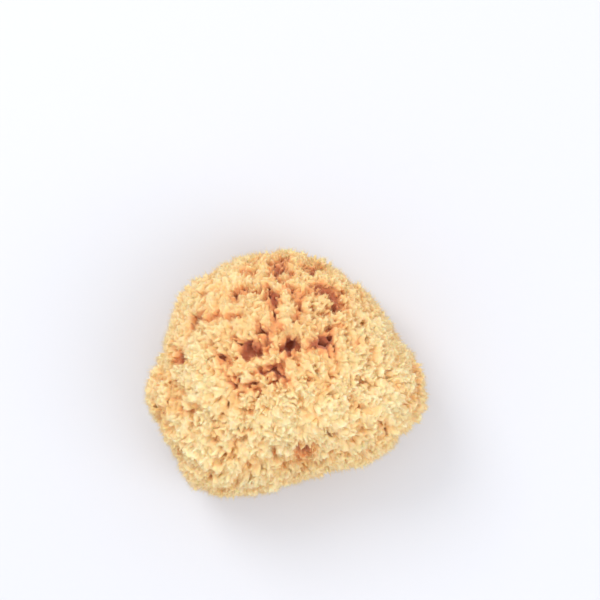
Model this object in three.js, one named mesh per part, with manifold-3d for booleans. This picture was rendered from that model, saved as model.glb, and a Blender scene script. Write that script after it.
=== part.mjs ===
// A natural bath sponge, grown as one piece: a low lobed cushion, cut flat underneath where it stood on
// the sea bed, with the deep mouths of its water canals (oscula) on the crown and the flanks.
// Millimetres, +Z up. The origin is on the cut face, at the bottom centre of the sponge's box.

import * as THREE from 'three';
import { ImprovedNoise } from 'three/addons/math/ImprovedNoise.js';
import { mergeVertices } from 'three/addons/utils/BufferGeometryUtils.js';
import Module from 'manifold-3d';

// Driving dimensions: the sponge's box, measured at the tips of its tufts.
const WIDTH = 107;
const DEPTH = 95;
const HEIGHT = 60;

// Growth form, worked out before the form is sized to the box.
const WAIST_HEIGHT = 0.36 * HEIGHT; // the sponge is widest at this height
const ROOT_DEPTH = 0.53 * HEIGHT; // how far the uncut form would reach below its waist
const FULLNESS = 2.35; // superellipse exponent of the side profile: 2 is a plain ellipse
const REACH = 42; // horizontal reach between the lobes
const FORM_DETAIL = 16; // subdivisions of the icosahedron's edges

// Lobes round the rim: bearing from +X in degrees, how far each stands out, and its half width in degrees.
const LOBES = [
  { bearing: -9, stands: 12, spread: 24 },
  { bearing: 26, stands: 3, spread: 14 },
  { bearing: -40, stands: 6, spread: 18 },
  { bearing: 100, stands: 6, spread: 34 },
  { bearing: 140, stands: 5, spread: 20 },
  { bearing: 191, stands: 12, spread: 22 },
  { bearing: 232, stands: 14, spread: 22 },
];

// Relief that the lobes and tuft clusters raise on the form: size across and height.
const SWELL = { across: 34, height: 3.4 };
const CLUSTER = { across: 13, height: 2.2 };

// Oscula: where each mouth lies, how wide it is and how deep. A flank one is aimed by bearing and rise.
const CROWN_OSCULA = [
  { x: -13, y: 9, mouth: 5.6, deep: 15 },
  { x: 2, y: 11, mouth: 7, deep: 18 },
  { x: 13, y: 12, mouth: 4.4, deep: 11 },
  { x: -3, y: 28, mouth: 4, deep: 9 },
];
const FLANK_OSCULA = [
  { bearing: 62, rise: 34, mouth: 5.6, deep: 11 },
  { bearing: 171, rise: 24, mouth: 4.6, deep: 10 },
  { bearing: 285, rise: 38, mouth: 5.2, deep: 11 },
];
const OSCULUM_SIDES = 18;
const OSCULUM_FLARE = 1.5; // how much wider a mouth is where it meets the surface
const OSCULUM_CLEARANCE = 12; // how far the cutting shape stands out of the surface

const wasm = await Module();
wasm.setup();

// A closed three.js geometry as a manifold solid.
function solidFrom(geometry) {
  const bare = geometry.clone();
  bare.deleteAttribute('normal');
  bare.deleteAttribute('uv');
  const merged = mergeVertices(bare, 1e-4);
  return new wasm.Manifold(new wasm.Mesh({
    numProp: 3,
    vertProperties: merged.attributes.position.array,
    triVerts: new Uint32Array(merged.index.array),
  }));
}

// A manifold solid as a three.js geometry.
function geometryFrom(solid) {
  const mesh = solid.getMesh();
  const geometry = new THREE.BufferGeometry();
  geometry.setAttribute('position', new THREE.BufferAttribute(mesh.vertProperties, 3));
  geometry.setIndex(new THREE.BufferAttribute(mesh.triVerts, 1));
  geometry.computeVertexNormals();
  return geometry;
}

// How far the rim reaches from the middle at a bearing in degrees.
function rimReach(bearing) {
  return LOBES.reduce((reach, lobe) => {
    const apart = THREE.MathUtils.euclideanModulo(bearing - lobe.bearing + 180, 360) - 180;
    return reach + lobe.stands * Math.exp(-((apart / lobe.spread) ** 2));
  }, REACH);
}

// The smooth form's surface point in a unit direction from the middle of the waist.
function formPoint(direction) {
  const flat = Math.hypot(direction.x, direction.y);
  const steep = Math.abs(direction.z);
  const scale = (flat ** FULLNESS + steep ** FULLNESS) ** (-1 / FULLNESS);
  const bearing = THREE.MathUtils.radToDeg(Math.atan2(direction.y, direction.x));
  const reach = rimReach(bearing) * scale;
  const rise = (direction.z > 0 ? HEIGHT - WAIST_HEIGHT : ROOT_DEPTH) * scale;
  return new THREE.Vector3(
    direction.x * reach,
    direction.y * reach,
    WAIST_HEIGHT + direction.z * rise,
  );
}

const noise = new ImprovedNoise();

// How far the relief raises the form at a point.
function reliefAt(point, { across, height }) {
  const cell = point.clone().divideScalar(across);
  return height * noise.noise(cell.x + across, cell.y + across, cell.z + across);
}

// The uncut, lumpy form before it is sized.
function growForm() {
  const form = new THREE.IcosahedronGeometry(1, FORM_DETAIL);
  const places = form.attributes.position;
  const direction = new THREE.Vector3();
  for (let i = 0; i < places.count; i++) {
    direction.fromBufferAttribute(places, i).normalize();
    const point = formPoint(direction);
    const raised = reliefAt(point, SWELL) + reliefAt(point, CLUSTER);
    point.addScaledVector(direction, raised);
    places.setXYZ(i, point.x, point.y, point.z);
  }
  return solidFrom(form);
}

// The form with everything below the cut face taken off.
function cutBase(form) {
  const below = new THREE.BoxGeometry(4 * WIDTH, 4 * DEPTH, 2 * HEIGHT).translate(0, 0, -HEIGHT);
  return form.subtract(solidFrom(below));
}

// The cut form sized to the box, with its bottom centre at the origin.
function sizeToBox(form) {
  const geometry = geometryFrom(form);
  geometry.computeBoundingBox();
  const { min, max } = geometry.boundingBox;
  geometry.translate(-(min.x + max.x) / 2, -(min.y + max.y) / 2, 0);
  geometry.scale(WIDTH / (max.x - min.x), DEPTH / (max.y - min.y), HEIGHT / max.z);
  return geometry;
}

// The shape of one osculum's hollow, which opens along +Z from a mouth at the origin.
function osculumShape({ mouth, deep }) {
  const radius = mouth / 2;
  const profile = [
    new THREE.Vector2(0, -deep),
    new THREE.Vector2(0.45 * radius, -0.94 * deep),
    new THREE.Vector2(0.75 * radius, -0.7 * deep),
    new THREE.Vector2(radius, -0.25 * deep),
    new THREE.Vector2(OSCULUM_FLARE * radius, 0),
    new THREE.Vector2(2 * radius, OSCULUM_CLEARANCE),
    new THREE.Vector2(0, OSCULUM_CLEARANCE),
  ];
  return new THREE.LatheGeometry(profile, OSCULUM_SIDES).rotateX(Math.PI / 2);
}

// Where a ray meets the outside of the sponge.
function surfacePoint(mesh, origin, direction) {
  const hits = new THREE.Raycaster(origin, direction).intersectObject(mesh);
  return hits[0].point;
}

// The sponge with its oscula sunk into it.
function openOscula(geometry) {
  const outside = new THREE.Mesh(geometry, new THREE.MeshBasicMaterial({ side: THREE.DoubleSide }));
  const up = new THREE.Vector3(0, 0, 1);
  const crown = CROWN_OSCULA.map((osculum) => ({
    ...osculum,
    mouthAt: surfacePoint(outside, new THREE.Vector3(osculum.x, osculum.y, 2 * HEIGHT), up.clone().negate()),
    outward: up,
  }));
  const heart = new THREE.Vector3(0, 0, WAIST_HEIGHT);
  const flank = FLANK_OSCULA.map((osculum) => {
    const outward = new THREE.Vector3().setFromSphericalCoords(
      1,
      THREE.MathUtils.degToRad(90 - osculum.rise),
      THREE.MathUtils.degToRad(osculum.bearing + 90),
    ).applyAxisAngle(new THREE.Vector3(1, 0, 0), Math.PI / 2);
    return { ...osculum, mouthAt: surfacePoint(outside, heart, outward), outward };
  });
  return [...crown, ...flank].reduce((solid, osculum) => {
    const hollow = osculumShape(osculum);
    hollow.applyQuaternion(new THREE.Quaternion().setFromUnitVectors(up, osculum.outward));
    hollow.translate(osculum.mouthAt.x, osculum.mouthAt.y, osculum.mouthAt.z);
    return solid.subtract(solidFrom(hollow));
  }, solidFrom(geometry));
}

function makeSponge() {
  const body = sizeToBox(cutBase(growForm()));
  const material = new THREE.MeshStandardMaterial({ color: 0xf0bf7c, roughness: 1, metalness: 0 });
  const sponge = new THREE.Mesh(geometryFrom(openOscula(body)), material);
  sponge.name = 'sponge';
  return sponge;
}

const part = new THREE.Group();
part.add(makeSponge());

export default part;
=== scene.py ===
"""The looks of a natural bath sponge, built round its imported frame.

The body is one grown skeleton: a core, thousands of finger-like tufts fanned out over it in clumps,
canal mouths sunk into it, and a flat cut face underneath. A coat of short loose fibres softens it.
All sizes are in metres, in the frame's own axes, with +Z up out of the crown.
"""

import logging
import math
import random
from dataclasses import dataclass, field
from enum import Enum
from typing import Any, Callable, Iterable, Sequence

import bmesh
import bpy
import numpy as np
from mathutils import Matrix, Quaternion, Vector, noise
from mathutils.bvhtree import BVHTree


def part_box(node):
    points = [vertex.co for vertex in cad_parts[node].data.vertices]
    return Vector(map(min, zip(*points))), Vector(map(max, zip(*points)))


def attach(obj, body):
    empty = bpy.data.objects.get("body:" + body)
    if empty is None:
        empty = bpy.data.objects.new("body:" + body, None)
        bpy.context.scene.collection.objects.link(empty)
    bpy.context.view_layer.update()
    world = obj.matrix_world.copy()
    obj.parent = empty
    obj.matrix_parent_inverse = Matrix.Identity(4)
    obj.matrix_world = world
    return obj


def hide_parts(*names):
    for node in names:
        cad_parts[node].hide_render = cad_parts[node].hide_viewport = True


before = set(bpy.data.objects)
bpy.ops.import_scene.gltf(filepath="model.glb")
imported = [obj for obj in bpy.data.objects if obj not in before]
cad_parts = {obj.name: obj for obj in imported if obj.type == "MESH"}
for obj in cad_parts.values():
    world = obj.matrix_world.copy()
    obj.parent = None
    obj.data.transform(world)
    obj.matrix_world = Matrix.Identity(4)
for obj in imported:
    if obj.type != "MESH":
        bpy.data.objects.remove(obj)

log = logging.getLogger("sponge")

MM = 0.001
UP = Vector((0.0, 0.0, 1.0))
NODE = "sponge"
BODY = "root"


class Grain(Enum):
    """Sizes of the noise that shapes and colours the sponge, as metres across one lump."""

    PATCH = 17.0 * MM
    CLUMP = 10.5 * MM
    DENT = 5.0 * MM
    PORE = 2.4 * MM
    KNOB = 1.4 * MM
    FIBRE = 0.7 * MM


class Tone(Enum):
    """Colours of dry sponge fibre, as sRGB numbers, from the tuft tips to the canal floors; the darker ones are
    painted shade in the gaps and canals.
    """

    TIP = (255, 241, 203)
    CREAM = (255, 224, 170)
    HONEY = (252, 207, 146)
    AMBER = (240, 172, 114)
    UMBER = (188, 110, 78)


VALLEY_STEPS = (-2.7 * MM, -0.9 * MM, 0.9 * MM, 2.7 * MM)
# Readings past the cream stop paint shade into the gaps and down the canals.
TONE_STOPS = ((0.0, Tone.TIP), (0.16, Tone.CREAM), (0.42, Tone.HONEY), (0.68, Tone.AMBER), (1.0, Tone.UMBER))
GLOW_SPREAD = (1.0, 0.55, 0.3)


def linear(colour: Sequence[float]) -> tuple[float, float, float, float]:
    """Turn an sRGB colour into the linear one that shaders take.

    Args:
        colour: Red, green and blue from 0 to 255.

    Returns:
        Linear red, green, blue and a full alpha.
    """
    shares = [part / 255 for part in colour]
    red, green, blue = (s / 12.92 if s <= 0.04045 else ((s + 0.055) / 1.055) ** 2.4 for s in shares)
    return red, green, blue, 1.0


def grain_at(point: Vector, grain: Grain, shift: float = 0.0) -> float:
    """Read the noise of one grain at a point.

    Args:
        point: The place, in metres.
        grain: How large the noise's lumps are.
        shift: A number that picks another pattern of the same grain.

    Returns:
        A value from about -1 to 1.
    """
    return noise.noise(point / grain.value + Vector((shift, 2.3 * shift, -1.7 * shift)))


# ---------------------------------------------------------------------------------------------------
# Mesh helpers


def add_object(name: str, mesh: bpy.types.Mesh) -> bpy.types.Object:
    """Put a mesh into the scene as an object at the origin.

    Args:
        name: The new object's name.
        mesh: Its mesh.

    Returns:
        The new object.
    """
    piece = bpy.data.objects.new(name, mesh)
    bpy.context.scene.collection.objects.link(piece)
    return piece


def object_from(name: str, shape: bmesh.types.BMesh) -> bpy.types.Object:
    """Turn a bmesh into a scene object, and free the bmesh.

    Args:
        name: The new object's name.
        shape: The bmesh, which can't be used afterwards.

    Returns:
        The new object.
    """
    mesh = bpy.data.meshes.new(name)
    shape.to_mesh(mesh)
    shape.free()
    return add_object(name, mesh)


def settle(piece: bpy.types.Object) -> None:
    """Apply all of a piece's modifiers to its mesh.

    Args:
        piece: The object to settle.
    """
    depsgraph = bpy.context.evaluated_depsgraph_get()
    finished = bpy.data.meshes.new_from_object(piece.evaluated_get(depsgraph), depsgraph=depsgraph)
    rough = piece.data
    piece.modifiers.clear()
    piece.data = finished
    bpy.data.meshes.remove(rough)
    finished.name = piece.name


def fuse(piece: bpy.types.Object, voxel: float) -> None:
    """Fuse a piece's overlapping shapes into one closed skin.

    Args:
        piece: The object to fuse.
        voxel: The size of the cells that it is fused in.
    """
    modifier = piece.modifiers.new("fuse", "REMESH")
    modifier.mode = "VOXEL"
    modifier.voxel_size = voxel
    settle(piece)


def discard(pieces: Iterable[bpy.types.Object]) -> None:
    """Remove working objects and their meshes.

    Args:
        pieces: The objects that aren't part of the sponge.
    """
    for piece in pieces:
        bpy.data.meshes.remove(piece.data)


def vertex_places(mesh: bpy.types.Mesh) -> np.ndarray:
    """Return a mesh's vertex places as rows."""
    places = np.empty(3 * len(mesh.vertices), np.float32)
    mesh.vertices.foreach_get("co", places)
    return places.reshape(-1, 3)


def store(mesh: bpy.types.Mesh, name: str, kind: str, values: np.ndarray) -> None:
    """Store one value for each vertex of a mesh.

    Args:
        mesh: The mesh that gets the attribute.
        name: The attribute's name.
        kind: Its data type, such as FLOAT.
        values: The values, one row for each vertex.
    """
    attribute = mesh.attributes.new(name, kind, "POINT")
    slot = "vector" if kind == "FLOAT_VECTOR" else "value"
    attribute.data.foreach_set(slot, np.ascontiguousarray(values).ravel())


def recall(mesh: bpy.types.Mesh, name: str) -> np.ndarray:
    """Return a float attribute that store() left on a mesh."""
    values = np.empty(len(mesh.vertices), np.float32)
    mesh.attributes[name].data.foreach_get("value", values)
    return values


def lay_colour_map(mesh: bpy.types.Mesh, across: np.ndarray, along: np.ndarray) -> None:
    """Give a mesh a UV map on which each vertex lies by two of its values.

    Args:
        mesh: The mesh to map.
        across: A value from 0 to 1 for each vertex, for U.
        along: A value from 0 to 1 for each vertex, for V.
    """
    corners = np.empty(len(mesh.loops), np.int32)
    mesh.loops.foreach_get("vertex_index", corners)
    places = np.stack([across, along], axis=1).clip(0.0, 1.0) * 0.96 + 0.02
    layer = mesh.uv_layers.new(name="OFBake", do_init=False)
    layer.uv.foreach_set("vector", places[corners].astype(np.float32).ravel())


@dataclass
class Scatter:
    """Random places over a mesh, even by area.

    Attributes:
        points: The places, as rows.
        normals: The mesh's outward direction at each.
        corners: The three vertices of the triangle that each lies on.
        shares: How much of each vertex a place holds.
    """

    points: np.ndarray
    normals: np.ndarray
    corners: np.ndarray
    shares: np.ndarray

    @classmethod
    def over(cls, mesh: bpy.types.Mesh, count: int, chance: np.random.Generator) -> "Scatter":
        """Scatter places over a mesh.

        Args:
            mesh: The mesh to cover.
            count: How many places to draw.
            chance: The seeded source of random numbers.

        Returns:
            The scattered places.
        """
        mesh.calc_loop_triangles()
        corners = np.empty(3 * len(mesh.loop_triangles), np.int32)
        mesh.loop_triangles.foreach_get("vertices", corners)
        corners = corners.reshape(-1, 3)
        places = vertex_places(mesh)[corners]
        across = np.cross(places[:, 1] - places[:, 0], places[:, 2] - places[:, 0])
        sizes = np.linalg.norm(across, axis=1)
        picked = chance.choice(len(sizes), count, p=sizes / sizes.sum())
        root = np.sqrt(chance.random(count))
        slide = chance.random(count)
        shares = np.stack([1 - root, root * (1 - slide), root * slide], axis=1)
        points = np.einsum("nk,nkc->nc", shares, places[picked])
        normals = across[picked] / np.maximum(sizes[picked], 1e-18)[:, None]
        return cls(points, normals, corners[picked], shares)

    def only(self, kept: np.ndarray) -> "Scatter":
        """Return the places that kept, a mask or list of indices, picks."""
        return Scatter(self.points[kept], self.normals[kept], self.corners[kept], self.shares[kept])

    def read(self, values: np.ndarray) -> np.ndarray:
        """Return values, one for each vertex, at the scattered places."""
        return np.einsum("nk,nk->n", self.shares, values[self.corners])

    def thinned(self, spacing: float, wanted: Callable[[Vector, Vector], bool]) -> "Scatter":
        """Keep only wanted places that lie at least a spacing apart.

        Args:
            spacing: The least distance between two kept places.
            wanted: A test of a place and its outward direction.

        Returns:
            The kept places.
        """
        cells: dict[tuple[int, ...], list[np.ndarray]] = {}
        steps = [(i, j, k) for i in (-1, 0, 1) for j in (-1, 0, 1) for k in (-1, 0, 1)]
        kept = []
        for index, point in enumerate(self.points):
            cell = tuple((point // spacing).astype(int))
            near = (q for i, j, k in steps for q in cells.get((cell[0] + i, cell[1] + j, cell[2] + k), ()))
            if any(((point - q) ** 2).sum() < spacing**2 for q in near):
                continue
            if wanted(Vector(point), Vector(self.normals[index])):
                cells.setdefault(cell, []).append(point)
                kept.append(index)
        return self.only(np.array(kept, np.int64))


# ---------------------------------------------------------------------------------------------------
# Node helpers


@dataclass(frozen=True)
class Signal:
    """An output socket that can be used in Python sums, which add Math nodes."""

    bench: "Bench"
    socket: bpy.types.NodeSocket

    def _math(self, operation: str, *values: Any) -> "Signal":
        """Return a Math node of these values."""
        return self.bench.node("ShaderNodeMath", {"operation": operation}, dict(enumerate(values)))

    def __add__(self, other: Any) -> "Signal":
        """Return self + other."""
        return self._math("ADD", self, other)

    def __radd__(self, other: Any) -> "Signal":
        """Return other + self."""
        return self._math("ADD", other, self)

    def __sub__(self, other: Any) -> "Signal":
        """Return self - other."""
        return self._math("SUBTRACT", self, other)

    def __rsub__(self, other: Any) -> "Signal":
        """Return other - self."""
        return self._math("SUBTRACT", other, self)

    def __mul__(self, other: Any) -> "Signal":
        """Return self * other."""
        return self._math("MULTIPLY", self, other)

    def __rmul__(self, other: Any) -> "Signal":
        """Return other * self."""
        return self._math("MULTIPLY", other, self)

    def held(self) -> "Signal":
        """Return self kept between 0 and 1."""
        return self._math("MINIMUM", self._math("MAXIMUM", self, 0.0), 1.0)


class Bench:
    """A material's node tree, and the one way that nodes are added to it."""

    def __init__(self, name: str) -> None:
        """Start a material.

        Args:
            name: The material's name.
        """
        self.material = bpy.data.materials.new(name)
        self.material.use_nodes = True
        self.nodes = self.material.node_tree.nodes
        self.links = self.material.node_tree.links
        self.shader = self.nodes["Principled BSDF"]

    def node(self, kind: str, settings: dict[str, Any], values: dict[Any, Any], output: Any = 0) -> Signal:
        """Add one node.

        Args:
            kind: The node's type.
            settings: Its properties, set first. A ramp's stops go under "stops".
            values: Its sockets' numbers, colours or Signals, by name or index.
            output: The name or index of the output to return.

        Returns:
            The node's output.
        """
        node = self.nodes.new(kind)
        for name, value in settings.items():
            if name == "stops":
                self._set_stops(node.color_ramp, value)
            else:
                setattr(node, name, value)
        for name, value in values.items():
            self.put(node.inputs[name], value)
        return Signal(self, node.outputs[output])

    def put(self, socket: bpy.types.NodeSocket, value: Any) -> None:
        """Link a Signal to a socket, or set the socket's own value."""
        if isinstance(value, Signal):
            self.links.new(value.socket, socket)
        else:
            socket.default_value = value

    @staticmethod
    def _set_stops(ramp: bpy.types.ColorRamp, stops: Sequence[tuple[float, Tone]]) -> None:
        """Set a ramp's stops.

        Args:
            ramp: The ramp, which starts with two stops.
            stops: Each stop's place from 0 to 1, and its tone.
        """
        ramp.interpolation = "EASE"
        while len(ramp.elements) < len(stops):
            ramp.elements.new(0.5)
        for element, (place, _) in zip(ramp.elements, stops):
            element.position = place
        for element, (_, tone) in zip(ramp.elements, stops):
            element.color = linear(tone.value)

    def stored(self, name: str) -> Signal:
        """Return a float attribute of the mesh."""
        return self.node("ShaderNodeAttribute", {"attribute_name": name}, {}, "Fac")

    def pattern(self, grain: float, detail: float) -> Signal:
        """Add fractal noise on the piece's own coordinates.

        Args:
            grain: How large the noise's lumps are, in metres.
            detail: How many finer layers it has.

        Returns:
            The noise, from 0 to 1.
        """
        place = self.node("ShaderNodeTexCoord", {}, {}, "Object")
        values = {"Vector": place, "Scale": 1.0 / grain, "Detail": detail, "Roughness": 0.6}
        return self.node("ShaderNodeTexNoise", {}, values, "Fac")

    def blend(self, share: Any, first: Any, second: Any, way: str = "MIX") -> Signal:
        """Mix two colours.

        Args:
            share: How much of the second colour there is.
            first: The first colour.
            second: The second colour.
            way: How they mix, such as MULTIPLY.

        Returns:
            The mixed colour.
        """
        settings = {"data_type": "RGBA", "blend_type": way}
        return self.node("ShaderNodeMix", settings, {0: share, 6: first, 7: second}, 2)


# ---------------------------------------------------------------------------------------------------
# Finishes


@dataclass(frozen=True)
class SpongeFinish:
    """Dry sponge fibre with painted shade: pale at the tuft tips, amber in the gaps, umber down the canals."""

    roughness: float = 0.95
    shine: float = 0.15
    glow: float = 0.6
    glow_depth: float = 1.6 * MM
    nap: float = 0.3
    by_tint: float = 0.2
    fuzz: float = 0.25
    by_fleck: float = 0.16

    def make(self) -> bpy.types.Material:
        """Build the material, which reads the body's depth, which carries painted shade, and its tint."""
        bench = Bench("sponge_fibre")
        depth = bench.stored("depth")
        tint = bench.stored("tint")
        fleck = bench.pattern(Grain.FIBRE.value, 3.0)
        # The depth paints shade into the gaps and canals; the tint and fleck are the fibre's own tone.
        reading = (depth + self.by_tint * tint + self.by_fleck * (fleck - 0.5)).held()
        colour = bench.node("ShaderNodeValToRGB", {"stops": TONE_STOPS}, {0: reading})
        bump_values = {"Strength": self.nap, "Distance": 0.25 * MM, "Height": fleck}
        bump = bench.node("ShaderNodeBump", {}, bump_values)
        sockets = bench.shader.inputs
        bench.put(sockets["Base Color"], colour)
        bench.put(sockets["Normal"], bump)
        sockets["Roughness"].default_value = self.roughness
        sockets["Specular IOR Level"].default_value = self.shine
        sockets["Sheen Weight"].default_value = self.fuzz
        sockets["Subsurface Weight"].default_value = self.glow
        sockets["Subsurface Scale"].default_value = self.glow_depth
        sockets["Subsurface Radius"].default_value = GLOW_SPREAD
        return bench.material


@dataclass(frozen=True)
class FibreFinish:
    """Single loose fibres: the tone of the skeleton that they grow from, painted shade included, paler towards
    their ends.
    """

    roughness: float = 0.85
    shine: float = 0.2
    by_length: float = 0.08

    def make(self) -> bpy.types.Material:
        """Build the material, which reads a fibre's tone and the way along it."""
        bench = Bench("loose_fibre")
        tone = bench.stored("tone")
        along = bench.stored("along")
        reading = (tone - self.by_length * along).held()
        colour = bench.node("ShaderNodeValToRGB", {"stops": TONE_STOPS}, {0: reading})
        sockets = bench.shader.inputs
        bench.put(sockets["Base Color"], colour)
        sockets["Roughness"].default_value = self.roughness
        sockets["Specular IOR Level"].default_value = self.shine
        return bench.material


@dataclass(frozen=True)
class FloorFinish:
    """Plain pale studio paper."""

    colour: tuple[float, float, float, float] = (0.75, 0.765, 0.82, 1.0)
    roughness: float = 0.9

    def make(self) -> bpy.types.Material:
        """Build the material."""
        bench = Bench("studio_paper")
        bench.put(bench.shader.inputs["Base Color"], self.colour)
        bench.put(bench.shader.inputs["Roughness"], self.roughness)
        return bench.material


# ---------------------------------------------------------------------------------------------------
# The sponge


@dataclass
class Hull:
    """The smooth skin that the tuft tips reach, with the canal mouths closed over.

    Attributes:
        waist: How high the sponge is widest, as a share of its height.
        fineness: Subdivisions of the ball that the hull is drawn from.
        closing: How many steps of the ball's net a canal mouth is closed across.
        start: How far from the heart each ray starts, outside the sponge.
        crown: How far from the middle the lean has grown to its full.
        swirl: How far the lean turns away from straight outwards.
    """

    waist: float = 0.36
    fineness: int = 7
    closing: int = 7
    start: float = 0.2
    crown: float = 18.0 * MM
    swirl: float = 0.9

    def __post_init__(self) -> None:
        """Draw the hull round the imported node."""
        self.heart = Vector((0.0, 0.0, self.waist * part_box(NODE)[1].z))
        self.shape = bmesh.new()
        bmesh.ops.create_icosphere(self.shape, subdivisions=self.fineness, radius=1.0)
        ways = [vertex.co.copy() for vertex in self.shape.verts]
        reaches = self._closed(self._reaches(ways))
        for vertex, way, reach in zip(self.shape.verts, ways, reaches):
            vertex.co = self.heart + way * float(reach)
            vertex.co.z = max(0.0, vertex.co.z)
        self.shape.normal_update()
        self.tree = BVHTree.FromBMesh(self.shape)

    def _reaches(self, ways: Sequence[Vector]) -> np.ndarray:
        """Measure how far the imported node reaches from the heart.

        Args:
            ways: Unit directions.

        Returns:
            The reach in each direction.
        """
        solid = bmesh.new()
        solid.from_mesh(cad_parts[NODE].data)
        bmesh.ops.remove_doubles(solid, verts=solid.verts, dist=1e-6)
        tree = BVHTree.FromBMesh(solid)
        solid.free()
        hits = [tree.ray_cast(self.heart + self.start * way, -way)[3] for way in ways]
        found = np.array([math.nan if hit is None else self.start - hit for hit in hits])
        return np.where(np.isnan(found), np.nanmean(found), found)

    def _closed(self, reaches: np.ndarray) -> np.ndarray:
        """Close the canal mouths over by growing the reach and shrinking it back.

        Args:
            reaches: The reach of each vertex of the ball.

        Returns:
            The closed reaches.
        """
        ends = np.array([[vertex.index for vertex in edge.verts] for edge in self.shape.edges]).T
        closed = reaches.copy()
        for keep in [np.maximum] * self.closing + [np.minimum] * self.closing:
            before = closed.copy()
            keep.at(closed, ends[0], before[ends[1]])
            keep.at(closed, ends[1], before[ends[0]])
        return closed

    def mesh(self) -> bpy.types.Mesh:
        """Return the hull as a mesh."""
        mesh = bpy.data.meshes.new("hull")
        self.shape.to_mesh(mesh)
        return mesh

    def under(self, point: Vector, way: Vector) -> Vector:
        """Return where the hull is met on the way in from outside towards a point."""
        return self.tree.ray_cast(point + self.start * way, -way)[0]

    def depth(self, point: Vector) -> float:
        """Return how far a point lies from the hull."""
        return self.tree.find_nearest(point)[3]

    def flow(self, point: Vector, upright: Vector) -> Vector:
        """Work out which way the tufts lean at a place: out from the crown, with slow turns.

        Args:
            point: The place on the hull.
            upright: The hull's outward direction there.

        Returns:
            The direction along the hull, shorter near the middle of the crown and down the flanks.
        """
        flat = Vector((point.x, point.y, 0.0)) / max(self.crown, math.hypot(point.x, point.y))
        flat += self.swirl * noise.noise_vector(point / Grain.PATCH.value)
        return flat - upright * flat.dot(upright)

    def valley(self, point: Vector, flow: Vector) -> float:
        """Work out how far down in a valley a place is.

        Args:
            point: The place on the hull.
            flow: The way that the tufts lean there, along which the valleys run.

        Returns:
            0 on a ridge and 1 on a valley's floor.
        """
        level = sum(grain_at(point + step * flow, Grain.DENT, 5.3) for step in VALLEY_STEPS) / len(VALLEY_STEPS)
        share = min(1.0, max(0.0, -level / 0.22))
        return share * share * (3.0 - 2.0 * share)


@dataclass(frozen=True)
class Osculum:
    """The mouth of a main canal.

    Attributes:
        mouth: Where its middle meets the hull.
        way: The direction in which it opens.
        along: The direction in which the mouth is longest.
        radius: Half the width of its throat.
        stretch: How many times longer than wide the mouth is.
        deep: How far it runs in.
    """

    mouth: Vector
    way: Vector
    along: Vector
    radius: float
    stretch: float
    deep: float

    def apart(self, point: Vector) -> float:
        """Return a point's distance from the canal's line, as if the mouth were round."""
        off = point - self.mouth
        off -= self.way * off.dot(self.way)
        off -= self.along * off.dot(self.along) * (1.0 - 1.0 / self.stretch)
        return off.length

    def covers(self, point: Vector, margin: float) -> bool:
        """Return whether a point stands in the mouth, widened by a share of its radius."""
        return self.apart(point) < margin * self.radius and (point - self.mouth).length < self.deep

    def frame(self) -> Matrix:
        """Return the matrix that sets an upright shape of unit width in the mouth."""
        axes = (self.along * self.stretch, self.way.cross(self.along), self.way)
        return Matrix.Translation(self.mouth) @ Matrix(axes).transposed().to_4x4()


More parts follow.
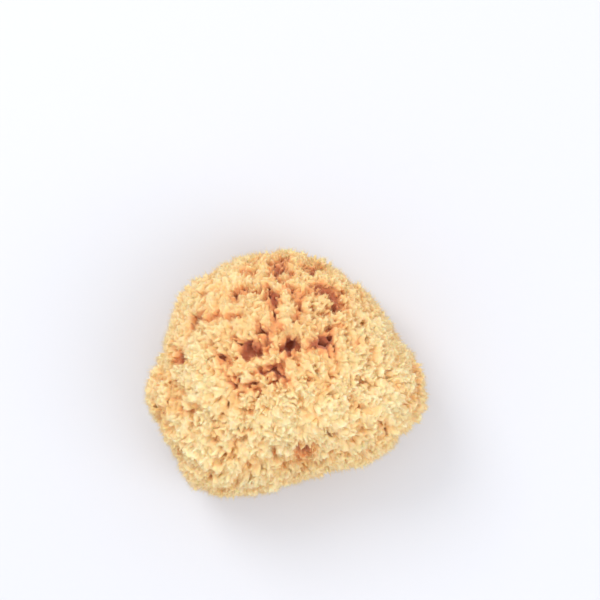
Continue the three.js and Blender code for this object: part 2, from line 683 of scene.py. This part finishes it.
@dataclass
class Canals:
    """The main canals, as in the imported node, and the cut ends of small ones in the base.

    Attributes:
        crown: Each crown mouth's X, Y, width and depth in millimetres, stretch, and bearing of its long side.
        flank: Each flank mouth's bearing and rise in degrees, and width and depth in millimetres.
        floor_share: How wide a canal's floor is, as a share of its throat.
        proud: How far the cutting shapes stand out of the sponge.
        cut_ends: How many small canals show in the base.
        cut_width: Narrowest and widest of them.
        cut_deep: Shallowest and deepest of them.
        wobble: How far the canals' walls wander.
        voxel: The size of the cells that the cutting shapes are fused in.
    """

    hull: Hull
    crown: Sequence[tuple[float, ...]] = (
        (-13, 9, 5.0, 7, 1.2, 30),
        (2, 11, 5.2, 9, 1.45, 48),
        (13, 12, 3.2, 8, 1.7, -15),
        (-3, 28, 3.0, 8, 1.2, 90),
    )
    flank: Sequence[tuple[float, ...]] = ((62, 34, 5.6, 11), (171, 24, 4.6, 10), (285, 38, 5.2, 11))
    floor_share: float = 0.45
    proud: float = 2.0 * MM
    cut_ends: int = 150
    cut_width: tuple[float, float] = (1.8 * MM, 6.5 * MM)
    cut_deep: tuple[float, float] = (4.0 * MM, 11.0 * MM)
    wobble: float = 0.8 * MM
    voxel: float = 0.5 * MM

    def oscula(self) -> list[Osculum]:
        """Place the main canals' mouths on the hull.

        Returns:
            The oscula, crown ones first.
        """
        found = []
        for x, y, width, deep, stretch, bearing in self.crown:
            mouth = self.hull.under(Vector((x, y, 0.0)) * MM, UP)
            along = Matrix.Rotation(math.radians(bearing), 3, "Z") @ Vector((1.0, 0.0, 0.0))
            found.append(Osculum(mouth, UP, along, width / 2 * MM, stretch, deep * MM))
        for bearing, rise, width, deep in self.flank:
            turn = Matrix.Rotation(math.radians(bearing), 3, "Z") @ Matrix.Rotation(-math.radians(rise), 3, "Y")
            way = turn @ Vector((1.0, 0.0, 0.0))
            mouth = self.hull.under(self.hull.heart, way)
            found.append(Osculum(mouth, way, turn @ Vector((0.0, 1.0, 0.0)), width / 2 * MM, 1.2, deep * MM))
        return found

    def build(self, chance: random.Random) -> bpy.types.Object:
        """Make the shapes that cut the canals out of the core.

        Args:
            chance: The seeded source of random numbers.

        Returns:
            One object of closed, wandering cones.
        """
        shape = bmesh.new()
        for osculum in self.oscula() + self._cut_canals(chance):
            bmesh.ops.create_cone(
                shape,
                cap_ends=True,
                segments=14,
                radius1=self.floor_share * osculum.radius,
                radius2=1.1 * osculum.radius,
                depth=osculum.deep + self.proud,
                matrix=osculum.frame() @ Matrix.Translation((0.0, 0.0, (self.proud - osculum.deep) / 2)),
            )
        canals = object_from("canals", shape)
        fuse(canals, self.voxel)
        for vertex in canals.data.vertices:
            vertex.co += self.wobble * noise.noise_vector(vertex.co / Grain.PORE.value)
        return canals

    def _cut_canals(self, chance: random.Random) -> list[Osculum]:
        """Pick the small canals that are cut through in the base.

        Args:
            chance: The seeded source of random numbers.

        Returns:
            Their mouths.
        """
        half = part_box(NODE)[1]
        found = []
        for _ in range(self.cut_ends):
            place = Vector((chance.uniform(-half.x, half.x), chance.uniform(-half.y, half.y), 0.0))
            way = Vector((chance.gauss(0.0, 0.3), chance.gauss(0.0, 0.3), -1.0)).normalized()
            width = self.cut_width[0] + (self.cut_width[1] - self.cut_width[0]) * chance.random() ** 2.5
            stretch = chance.uniform(1.0, 1.7)
            found.append(Osculum(place, way, way.orthogonal().normalized(), width / 2, stretch, chance.uniform(*self.cut_deep)))
        return found


@dataclass
class Planting:
    """Many small shapes set out over a surface and joined into one mesh.

    Attributes:
        name: The finished object's name.
        roots: Where each shape stands.
        turns: How each is turned.
        sizes: How each is stretched along its own axes.
        kinds: Which of the templates each is.
        values: Other float values that each shape carries, by name.
    """

    name: str
    roots: np.ndarray
    turns: np.ndarray
    sizes: np.ndarray
    kinds: np.ndarray
    values: dict[str, np.ndarray] = field(default_factory=dict)

    def build(self, templates: Sequence[bpy.types.Object]) -> bpy.types.Object:
        """Plant the templates.

        Args:
            templates: The shapes to copy, in name order.

        Returns:
            One object that holds every copy as real mesh.
        """
        mesh = bpy.data.meshes.new(self.name)
        mesh.vertices.add(len(self.roots))
        mesh.vertices.foreach_set("co", self.roots.astype(np.float32).ravel())
        store(mesh, "turn", "QUATERNION", self.turns.astype(np.float32))
        store(mesh, "size", "FLOAT_VECTOR", self.sizes.astype(np.float32))
        store(mesh, "kind", "INT", self.kinds.astype(np.int32))
        for name, values in self.values.items():
            store(mesh, name, "FLOAT", values.astype(np.float32))
        piece = add_object(self.name, mesh)
        tray = bpy.data.collections.new(self.name + "_templates")
        for template in templates:
            tray.objects.link(template)
        modifier = piece.modifiers.new("plant", "NODES")
        modifier.node_group = self._nodes(tray)
        settle(piece)
        bpy.data.collections.remove(tray)
        return piece

    def _nodes(self, tray: bpy.types.Collection) -> bpy.types.NodeTree:
        """Build the nodes that set a template on every point.

        Args:
            tray: The collection of templates.

        Returns:
            The node group.
        """
        group = bpy.data.node_groups.new(self.name + "_plant", "GeometryNodeTree")
        for way in ("INPUT", "OUTPUT"):
            group.interface.new_socket("Geometry", in_out=way, socket_type="NodeSocketGeometry")
        add, link = group.nodes.new, group.links.new
        start, end = add("NodeGroupInput"), add("NodeGroupOutput")
        points, copies = add("GeometryNodeMeshToPoints"), add("GeometryNodeInstanceOnPoints")
        shapes, real = add("GeometryNodeCollectionInfo"), add("GeometryNodeRealizeInstances")
        shapes.inputs["Collection"].default_value = tray
        shapes.inputs["Separate Children"].default_value = True
        shapes.inputs["Reset Children"].default_value = True
        copies.inputs["Pick Instance"].default_value = True
        link(start.outputs[0], points.inputs["Mesh"])
        link(points.outputs[0], copies.inputs["Points"])
        link(shapes.outputs[0], copies.inputs["Instance"])
        for name, kind, socket in (
            ("kind", "INT", "Instance Index"),
            ("turn", "QUATERNION", "Rotation"),
            ("size", "FLOAT_VECTOR", "Scale"),
        ):
            reader = add("GeometryNodeInputNamedAttribute")
            reader.data_type = kind
            reader.inputs["Name"].default_value = name
            link(reader.outputs["Attribute"], copies.inputs[socket])
        link(copies.outputs[0], real.inputs[0])
        link(real.outputs[0], end.inputs[0])
        return group


def turn_to(way: Vector, across: Vector) -> tuple[float, float, float, float]:
    """Work out the turn that points a shape's Z along one direction and its X towards another.

    Args:
        way: The direction for Z.
        across: The direction for X, which needn't be square to the first.

    Returns:
        The turn as w, x, y and z.
    """
    up = way.normalized()
    side = up.cross(across).normalized()
    turn = Matrix((side.cross(up), side, up)).transposed().to_quaternion()
    return turn.w, turn.x, turn.y, turn.z


@dataclass
class TuftCoat:
    """Tufts of short fingers, each spread like a fan, that lie over one another like thatch.

    Attributes:
        name: What the tufts are called.
        spacing: The least distance between two tufts on the hull.
        tries: How many places are tried for each that could fit.
        kinds: How many different tufts there are.
        long: A tuft's length, from its root in the core to the longest tip.
        fan: How far a tuft's end fingers spread to either side, in degrees.
        plump: How far its fingers stray out of the fan, in degrees.
        stalk: A finger's radius at its root.
        tip: A finger's radius at its tip.
        fewest: Fingers in the smallest tuft.
        shy: Least and most that tips stop short of the hull.
        lean: How far tufts lean over along the flow.
        stray: How far they lean at random.
        twist: How far their fans turn out of line at random.
        sink: How much lower tufts stand in a valley.
        margin: How near the canal mouths tufts may stand, in throat radii.
        groups: How many pieces the tufts are shared out over.
        seed: Picks the places.
    """

    hull: Hull
    oscula: Sequence[Osculum]
    name: str = "tufts"
    spacing: float = 2.6 * MM
    tries: int = 14
    kinds: int = 12
    long: float = 7.5 * MM
    fan: float = 19.0
    plump: float = 6.0
    stalk: float = 0.6 * MM
    tip: float = 0.36 * MM
    fewest: int = 9
    shy: tuple[float, float] = (0.3 * MM, 1.5 * MM)
    lean: float = 0.7
    stray: float = 0.14
    twist: float = 0.4
    sink: float = 2.8 * MM
    margin: float = 1.2
    groups: int = 3
    seed: int = 5

    def build(self, chance: random.Random) -> list[bpy.types.Object]:
        """Plant the tufts over the hull.

        Args:
            chance: The seeded source of random numbers.

        Returns:
            One object for each group of tufts, each tuft rooted in the core.
        """
        templates = [self._tuft(index, chance) for index in range(self.kinds)]
        places = self._places()
        rows = [self._stand(point, normal, chance) for point, normal in zip(places.points, places.normals)]
        roots, turns, sizes, kinds, groups = (np.array(column) for column in zip(*rows))
        coats = []
        for group in range(self.groups):
            own = groups == group
            name = f"{self.name}_{group + 1}"
            coats.append(Planting(name, roots[own], turns[own], sizes[own], kinds[own]).build(templates))
            log.info("%s: %d planted", name, own.sum())
        discard(templates)
        return coats

    def _places(self) -> Scatter:
        """Pick the tufts' places, clear of the cut face and the canal mouths.

        Returns:
            The places on the hull.
        """
        mesh = self.hull.mesh()
        spread = sum(polygon.area for polygon in mesh.polygons)
        count = int(self.tries * spread / self.spacing**2)
        candidates = Scatter.over(mesh, count, np.random.default_rng(self.seed))
        bpy.data.meshes.remove(mesh)
        return candidates.thinned(self.spacing, self._may_stand)

    def _may_stand(self, point: Vector, normal: Vector) -> bool:
        """Return whether a tuft may stand at a place on the hull."""
        margin = self.margin * (1.0 + 0.25 * grain_at(point, Grain.DENT, 1.0))
        way = self._lean_way(point, normal)
        body = [point - way * self.long * share for share in (0.0, 0.4, 0.8)]
        return point.z > 0.6 * MM and not any(o.covers(part, margin) for o in self.oscula for part in body)

    def _lean_way(self, point: Vector, normal: Vector) -> Vector:
        """Return the direction in which tufts usually stand at a place on the hull."""
        return (normal + self.lean * self.hull.flow(point, normal)).normalized()

    def _stand(self, place: np.ndarray, normal: np.ndarray, chance: random.Random) -> tuple[Any, ...]:
        """Work out how a tuft stands.

        Args:
            place: Its place on the hull.
            normal: The hull's outward direction there.
            chance: The seeded source of random numbers.

        Returns:
            Its root, turn, size, kind and group.
        """
        point, upright = Vector(place), Vector(normal)
        flow = self.hull.flow(point, upright)
        stray = Vector([chance.gauss(0.0, 1.0) for _ in range(3)])
        twist = Vector([chance.gauss(0.0, 1.0) for _ in range(3)])
        way = (self._lean_way(point, upright) + self.stray * stray).normalized()
        shy = self.shy[0] + (self.shy[1] - self.shy[0]) * chance.random() ** 2
        shy += self.sink * self.hull.valley(point, flow)
        width = chance.uniform(0.85, 1.25)
        kind = chance.randrange(self.kinds)
        group = int(sum(noise.voronoi(point / Grain.CLUMP.value)[1][0]) * 97.0) % self.groups
        turn = turn_to(way, upright.cross(flow) + self.twist * twist)
        return point - way * (self.long + shy), turn, (width, width, 1.0), kind, group

    def _tuft(self, index: int, chance: random.Random) -> bpy.types.Object:
        """Make one tuft: a fan of tapered fingers with small knobs on their tips.

        Args:
            index: The tuft's number.
            chance: The seeded source of random numbers.

        Returns:
            The tuft, standing along +Z from the origin and spread along X.
        """
        shape = bmesh.new()
        fingers = self.fewest + index % 4
        for number in range(fingers):
            first = len(shape.verts)
            long = self.long * chance.uniform(0.78, 1.0)
            tip = self.tip * chance.uniform(0.85, 1.25)
            bmesh.ops.create_cone(
                shape,
                cap_ends=True,
                segments=6,
                radius1=self.stalk,
                radius2=tip,
                depth=long,
                matrix=Matrix.Translation((0.0, 0.0, long / 2)),
            )
            top = Matrix.Translation((0.0, 0.0, long))
            bmesh.ops.create_icosphere(shape, subdivisions=1, radius=1.2 * tip, matrix=top)
            swing = self.fan * (2.0 * number / (fingers - 1) - 1.0) + chance.gauss(0.0, 3.0)
            tilt = chance.gauss(0.0, self.plump)
            lean = Matrix.Rotation(math.radians(swing), 3, "Y") @ Matrix.Rotation(math.radians(tilt), 3, "X")
            bmesh.ops.rotate(shape, cent=(0.0, 0.0, 0.0), matrix=lean, verts=shape.verts[first:])
        tuft = object_from(f"{self.name}_{index:02d}", shape)
        bpy.context.scene.collection.objects.unlink(tuft)
        return tuft


@dataclass
class Skin:
    """How a part of the skeleton is fused, cut flat at the base, roughened and measured.

    Attributes:
        voxel: The size of the cells that its shapes are fused in.
        knob: How far knobs and dents push the skin in and out.
        streak: The same for the finest lumps, which are drawn out along the tufts.
        pore: How deep the pores in the cut face are.
        fine_base: Whether the cut face gets a net of small faces, so that it can be pitted.
        most: The most triangles that a piece may have.
        deepest: The depth under the hull that counts as a canal's floor, where the painted shade is darkest.
        mouth_shade: How much painted shade darkens the skin beside and down a canal's mouth.
        shade: How much painted shade darkens it in a valley of the crown.
        paling: How much less painted shade the gaps get on the flanks than on the crown.
        heart: The middle of the crown, where the tint is strongest.
        crown: How far from the heart the tint is still full, and where it has faded.
        faded: The tint that is left where it has faded.
    """

    hull: Hull
    oscula: Sequence[Osculum]
    voxel: float = 0.42 * MM
    knob: float = 0.2 * MM
    streak: float = 0.22 * MM
    pore: float = 1.3 * MM
    fine_base: bool = False
    most: int = 128_000
    deepest: float = 8.5 * MM
    mouth_shade: float = 0.36
    shade: float = 0.26
    paling: float = 0.3
    heart: tuple[float, float, float] = (-4.0 * MM, 24.0 * MM, 48.0 * MM)
    crown: tuple[float, float] = (18.0 * MM, 46.0 * MM)
    faded: float = 0.3

    def finish(self, piece: bpy.types.Object) -> None:
        """Turn overlapping shapes into one finished piece of the skeleton.

        Args:
            piece: The object that holds the shapes.
        """
        fuse(piece, self.voxel)
        self._cut_flat(piece)
        if self.fine_base:
            fuse(piece, self.voxel)
        self._roughen(piece)
        self._thin(piece)
        self._measure(piece)

    def _cut_flat(self, piece: bpy.types.Object) -> None:
        """Cut a piece flat at its base.

        Args:
            piece: The fused piece.
        """
        shape = bmesh.new()
        shape.from_mesh(piece.data)
        everything = [*shape.verts, *shape.edges, *shape.faces]
        result = bmesh.ops.bisect_plane(
            shape, geom=everything, plane_co=(0.0, 0.0, 0.0), plane_no=UP, clear_inner=True
        )
        rims = [part for part in result["geom_cut"] if isinstance(part, bmesh.types.BMEdge)]
        bmesh.ops.triangle_fill(shape, use_beauty=True, edges=rims, normal=-UP)
        shape.to_mesh(piece.data)
        shape.free()

    def _roughen(self, piece: bpy.types.Object) -> None:
        """Raise knobs and streaks on a piece's skin, and sink pores into its cut face.

        Args:
            piece: The cut piece.
        """
        mesh = piece.data
        normals = [normal.vector.copy() for normal in mesh.vertex_normals]
        for vertex, normal in zip(mesh.vertices, normals):
            if vertex.co.z < self.voxel and normal.z < -0.8:
                vertex.co.z = self._pit(vertex.co)
            else:
                vertex.co += normal * self._push(vertex.co)
                vertex.co.z = max(0.0, vertex.co.z)

    def _pit(self, place: Vector) -> float:
        """Return how deep the cut face is pitted at a place."""
        near = noise.voronoi(place / Grain.PORE.value)[0][0]
        return self.pore * max(0.0, 1.0 - near / 0.5) + self.knob * max(0.0, grain_at(place, Grain.KNOB))

    def _push(self, place: Vector) -> float:
        """Work out how far the skin is pushed out at a place.

        Args:
            place: The place on the skin.

        Returns:
            The push, less than nothing where it dips.
        """
        nearest = self.hull.tree.find_nearest(place)[0]
        drawn_out = nearest.lerp(place, 0.25)
        return self.knob * grain_at(place, Grain.KNOB) + self.streak * grain_at(drawn_out, Grain.FIBRE)

    def _thin(self, piece: bpy.types.Object) -> None:
        """Bring a piece down to its triangle limit.

        Args:
            piece: The cut piece.
        """
        triangles = sum(len(polygon.vertices) - 2 for polygon in piece.data.polygons)
        thin = piece.modifiers.new("thin", "DECIMATE")
        thin.ratio = min(1.0, self.most / triangles)
        settle(piece)
        piece.data.shade_smooth()
        log.info("%s: thinned from %d triangles", piece.name, triangles)

    def _valley_at(self, place: Vector) -> float:
        """Return how far down in a valley between the tufts a place lies, from 0 to 1."""
        nearest, upright, _, _ = self.hull.tree.find_nearest(place)
        return self.hull.valley(nearest, self.hull.flow(nearest, upright))

    def _measure(self, piece: bpy.types.Object) -> None:
        """Store what the finish reads: the depth under the hull, which the finish paints as shade, made darker in
        the crown's valleys and beside the canal mouths, and a slow change of tint.

        Args:
            piece: The thinned piece.
        """
        mesh = piece.data
        places = [vertex.co for vertex in mesh.vertices]
        heart = Vector(self.heart)
        near, far = self.crown
        middle = np.array([(far - (place - heart).length) / (far - near) for place in places])
        patch = np.array([grain_at(place, Grain.PATCH, 8.0) for place in places])
        tint = (middle + 0.7 * patch).clip(self.faded, 1.0)
        valley = np.array([self._valley_at(place) for place in places])
        # Painted shade: the deeper under the hull, the darker the colour; the flanks get less of it.
        depth = np.array([self.hull.depth(place) for place in places]) / self.deepest
        # Painted shade: valleys of the crown are darkened further.
        depth = depth * (1.0 - self.paling * (1.0 - tint)) + self.shade * tint * valley
        # Painted shade: each canal's mouth and throat are darkened.
        for osculum in self.oscula:
            near = np.array([osculum.apart(place) / osculum.radius for place in places])
            level = np.array([(place - osculum.mouth).dot(osculum.way) > -osculum.deep for place in places])
            depth += self.mouth_shade * level * np.exp(-((near / 1.5) ** 4))
        # The cut face gets its own browner tone, with painted shade deeper in its pits.
        facing_down = np.array([normal.vector.z < -0.4 for normal in mesh.vertex_normals])
        height = np.array([place.z for place in places])
        on_cut = facing_down & (height < 1.5 * self.pore)
        depth = np.where(on_cut, 0.3 + 0.4 * height / self.pore, depth).clip(0.0, 1.0)
        store(mesh, "depth", "FLOAT", depth.astype(np.float32))
        store(mesh, "tint", "FLOAT", tint.astype(np.float32))
        lay_colour_map(mesh, depth, tint)


@dataclass
class SpongeBody:
    """The middle of the skeleton: a core with its canals, and the low tufts that floor the valleys.

    Attributes:
        name: The finished piece's name.
        inset: How far the core lies under the hull.
        sink: How much lower it lies in a valley.
        overcut: How far the core runs below the cut before it is cut flat.
        voxel: The size of the cells that its shapes are fused in.
        most: The most triangles that it may have.
    """

    hull: Hull
    oscula: Sequence[Osculum]
    name: str = "sponge_body"
    inset: float = 4.4 * MM
    sink: float = 2.2 * MM
    overcut: float = 1.5 * MM
    voxel: float = 0.5 * MM
    most: int = 190_000

    def build(self, low_tufts: bpy.types.Object, canals: bpy.types.Object) -> bpy.types.Object:
        """Fuse the body from its parts.

        Args:
            low_tufts: The tufts that floor the valleys.
            canals: The shapes that cut its canals.

        Returns:
            The finished body.
        """
        core = self._core(canals)
        shape = bmesh.new()
        shape.from_mesh(core.data)
        shape.from_mesh(low_tufts.data)
        body = object_from(self.name, shape)
        discard([core])
        Skin(self.hull, self.oscula, voxel=self.voxel, most=self.most, fine_base=True).finish(body)
        return body

    def _core(self, canals: bpy.types.Object) -> bpy.types.Object:
        """Make the solid middle that the tufts are rooted in.

        Args:
            canals: The shapes that cut its canals.

        Returns:
            The core.
        """
        shape = self.hull.shape.copy()
        heart = self.hull.heart
        for vertex in shape.verts:
            on_cut = vertex.co.z < 0.2 * MM
            out = vertex.co - heart
            valley = self.hull.valley(vertex.co, self.hull.flow(vertex.co, vertex.normal))
            dip = self.inset + self.sink * valley
            vertex.co = heart + out * (1.0 - dip / out.length)
            if on_cut:
                vertex.co.z = -self.overcut
        core = object_from("core", shape)
        fuse(core, self.voxel)
        cut = core.modifiers.new("canals", "BOOLEAN")
        cut.object = canals
        cut.operation = "DIFFERENCE"
        cut.solver = "MANIFOLD"
        settle(core)
        if not core.data.polygons:
            raise RuntimeError("the core was lost as its canals were cut")
        log.info("core: %d faces", len(core.data.polygons))
        return core


@dataclass
class FibreFuzz:
    """Short loose fibres that stand off the skeleton and soften its edges.

    Attributes:
        each: Fibres in each piece.
        kinds: How many different fibres there are.
        long: A fibre's usual length.
        thick: Its radius at the root.
        lean: How far they lean over along the flow.
        most_deep: Fibres are left out deeper than this share of the body's depth.
        by_tint: How much a deep tint darkens them, as on the tufts.
    """

    hull: Hull
    each: int = 37_500
    kinds: int = 3
    long: float = 2.0 * MM
    thick: float = 0.06 * MM
    lean: float = 0.8
    most_deep: float = 1.2
    by_tint: float = 0.2

    def build(self, coats: Sequence[bpy.types.Object]) -> list[bpy.types.Object]:
        """Grow the fibres out of the skeleton.

        Args:
            coats: The finished pieces of the skeleton.

        Returns:
            The fibre pieces, one for each.
        """
        chance = np.random.default_rng(23)
        templates = [self._fibre(index) for index in range(self.kinds)]
        found = []
        for number, coat in enumerate(coats):
            places = Scatter.over(coat.data, 4 * self.each, chance)
            deep = places.read(recall(coat.data, "depth"))
            likely = chance.random(len(deep)) > deep / self.most_deep
            kept = np.flatnonzero(likely & (places.points[:, 2] > 0.8 * MM))[: self.each]
            # The tone carries the skeleton's painted shade from its depth, as well as its tint.
            tone = deep[kept] + self.by_tint * places.read(recall(coat.data, "tint"))[kept]
            piece = self._plant(f"fibre_fuzz_{number + 1}", places.only(kept), tone, chance, templates)
            found.append(piece)
            log.info("%s: %d fibres", piece.name, len(kept))
        discard(templates)
        return found

    def _plant(
        self,
        name: str,
        places: Scatter,
        tone: np.ndarray,
        chance: np.random.Generator,
        templates: Sequence[bpy.types.Object],
    ) -> bpy.types.Object:
        """Plant one piece's fibres.

        Args:
            name: The piece's name.
            places: Where the fibres are rooted.
            tone: The skeleton's tone at each.
            chance: The seeded source of random numbers.
            templates: The different fibres.

        Returns:
            The piece.
        """
        count = len(tone)
        along = np.array([self._flow_at(Vector(point)) for point in places.points])
        stray = chance.normal(0.0, 1.0, (2, count, 3))
        ways = 0.35 * places.normals + along + 0.3 * stray[0]
        turns = np.array([turn_to(Vector(way), Vector(side)) for way, side in zip(ways, stray[1])])
        width = chance.uniform(0.8, 1.2, count)
        sizes = np.stack([width, width, chance.uniform(0.5, 1.25, count)], axis=1)
        roots = places.points - 0.15 * MM * places.normals
        kinds = chance.integers(0, self.kinds, count)
        tone = (tone + chance.uniform(-0.1, 0.12, count)).clip(0.0, 1.0)
        piece = Planting(name, roots, turns, sizes, kinds, {"tone": tone}).build(templates)
        raised = vertex_places(piece.data)
        raised[:, 2] = raised[:, 2].clip(0.0)
        piece.data.vertices.foreach_set("co", raised.ravel())
        lay_colour_map(piece.data, recall(piece.data, "tone"), recall(piece.data, "along"))
        piece.data.shade_smooth()
        return piece

    def _flow_at(self, point: Vector) -> Vector:
        """Return the direction in which the tufts stand over a point."""
        upright = self.hull.tree.find_nearest(point)[1]
        return (upright + self.lean * self.hull.flow(point, upright)).normalized()

    def _fibre(self, index: int) -> bpy.types.Object:
        """Make one fibre: a three-sided strand that tapers to a point.

        Args:
            index: The fibre's number. A higher one is longer.

        Returns:
            The fibre, standing along +Z from the origin.
        """
        long = self.long * (0.8 + 0.2 * index)
        shape = bmesh.new()
        bmesh.ops.create_cone(
            shape,
            cap_ends=True,
            segments=3,
            radius1=self.thick,
            radius2=0.0,
            depth=long,
            matrix=Matrix.Translation((0.0, 0.0, long / 2)),
        )
        fibre = object_from(f"fibre_{index:02d}", shape)
        bpy.context.scene.collection.objects.unlink(fibre)
        along = vertex_places(fibre.data)[:, 2] / long
        store(fibre.data, "along", "FLOAT", along.astype(np.float32))
        return fibre


# ---------------------------------------------------------------------------------------------------
# The studio


@dataclass
class Studio:
    """A pale floor, soft light from above and a camera that looks straight down on the crown.

    Attributes:
        floor_size: Half the floor's side.
        drop: How far the floor lies under the cut face, so that the two share no plane.
        target: The point over which the camera hangs.
        distance: How far the camera is above the sponge's widest level.
        field: The width that the camera takes in at that level.
        lamps: Each soft lamp's name, place, width and power.
        sky: The strength of the even light from all round.
    """

    floor_size: float = 3.0
    drop: float = 0.05 * MM
    target: tuple[float, float] = (5.6 * MM, 27.5 * MM)
    distance: float = 1.0
    field: float = 225.0 * MM
    lamps: Sequence[tuple[str, tuple[float, float, float], float, float]] = (
        ("key_lamp", (-0.5, 0.6, 0.9), 0.6, 4.4),
        ("fill_lamp", (0.7, -0.35, 0.8), 0.8, 2.4),
    )
    sky: float = 0.93

    def build(self, hull: Hull) -> None:
        """Set up the floor, the lights and the camera.

        Args:
            hull: The sponge's hull, which gives the widest level.
        """
        shape = bmesh.new()
        under = Matrix.Translation((0.0, 0.0, -self.drop))
        bmesh.ops.create_grid(shape, x_segments=1, y_segments=1, size=self.floor_size, matrix=under)
        floor = object_from("floor", shape)
        floor.data.materials.append(FloorFinish().make())
        for name, place, width, power in self.lamps:
            self._lamp(name, Vector(place), width, power)
        world = bpy.data.worlds.new("sky")
        world.use_nodes = True
        backdrop = world.node_tree.nodes["Background"].inputs
        backdrop["Color"].default_value = (1.0, 1.0, 1.0, 1.0)
        backdrop["Strength"].default_value = self.sky
        bpy.context.scene.world = world
        bpy.context.scene.view_settings.view_transform = "Standard"
        self._camera(hull.heart.z)

    def _lamp(self, name: str, place: Vector, width: float, power: float) -> None:
        """Add one soft lamp, turned to the sponge.

        Args:
            name: The lamp's name.
            place: Where it hangs.
            width: How wide it is.
            power: Its power in watts.
        """
        light = bpy.data.lights.new(name, "AREA")
        light.shape = "DISK"
        light.size = width
        light.energy = power
        lamp = bpy.data.objects.new(name, light)
        lamp.location = place
        lamp.rotation_euler = (-place).to_track_quat("-Z", "Y").to_euler()
        bpy.context.scene.collection.objects.link(lamp)

    def _camera(self, level: float) -> None:
        """Hang the camera.

        Args:
            level: The height at which it takes in the studio's field.
        """
        lens = bpy.data.cameras.new("camera")
        lens.angle = 2.0 * math.atan(self.field / 2 / self.distance)
        camera = bpy.data.objects.new("camera", lens)
        camera.location = (*self.target, self.distance + level)
        bpy.context.scene.collection.objects.link(camera)
        bpy.context.scene.camera = camera


def main() -> None:
    """Build the sponge and its studio."""
    logging.basicConfig(level=logging.INFO, format="%(name)s: %(message)s")
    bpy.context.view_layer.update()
    chance = random.Random(41)
    hull = Hull()
    Studio().build(hull)
    canals = Canals(hull)
    oscula = canals.oscula()
    cutters = canals.build(chance)
    low = TuftCoat(
        hull, oscula, name="low_tufts", spacing=2.2 * MM, long=5.0 * MM, shy=(1.3 * MM, 2.8 * MM), groups=1, seed=9
    ).build(chance)
    body = SpongeBody(hull, oscula).build(low[0], cutters)
    discard([*low, cutters])
    coats = TuftCoat(hull, oscula).build(chance)
    skin = Skin(hull, oscula)
    for coat in coats:
        skin.finish(coat)
    fuzz = FibreFuzz(hull).build([body, *coats])
    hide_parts(NODE)
    for pieces, finish in (([body, *coats], SpongeFinish().make()), (fuzz, FibreFinish().make())):
        for piece in pieces:
            piece.data.materials.clear()
            piece.data.materials.append(finish)
            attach(piece, BODY)
            log.info("%s: %d faces", piece.name, len(piece.data.polygons))


if __name__ == "__main__":
    main()
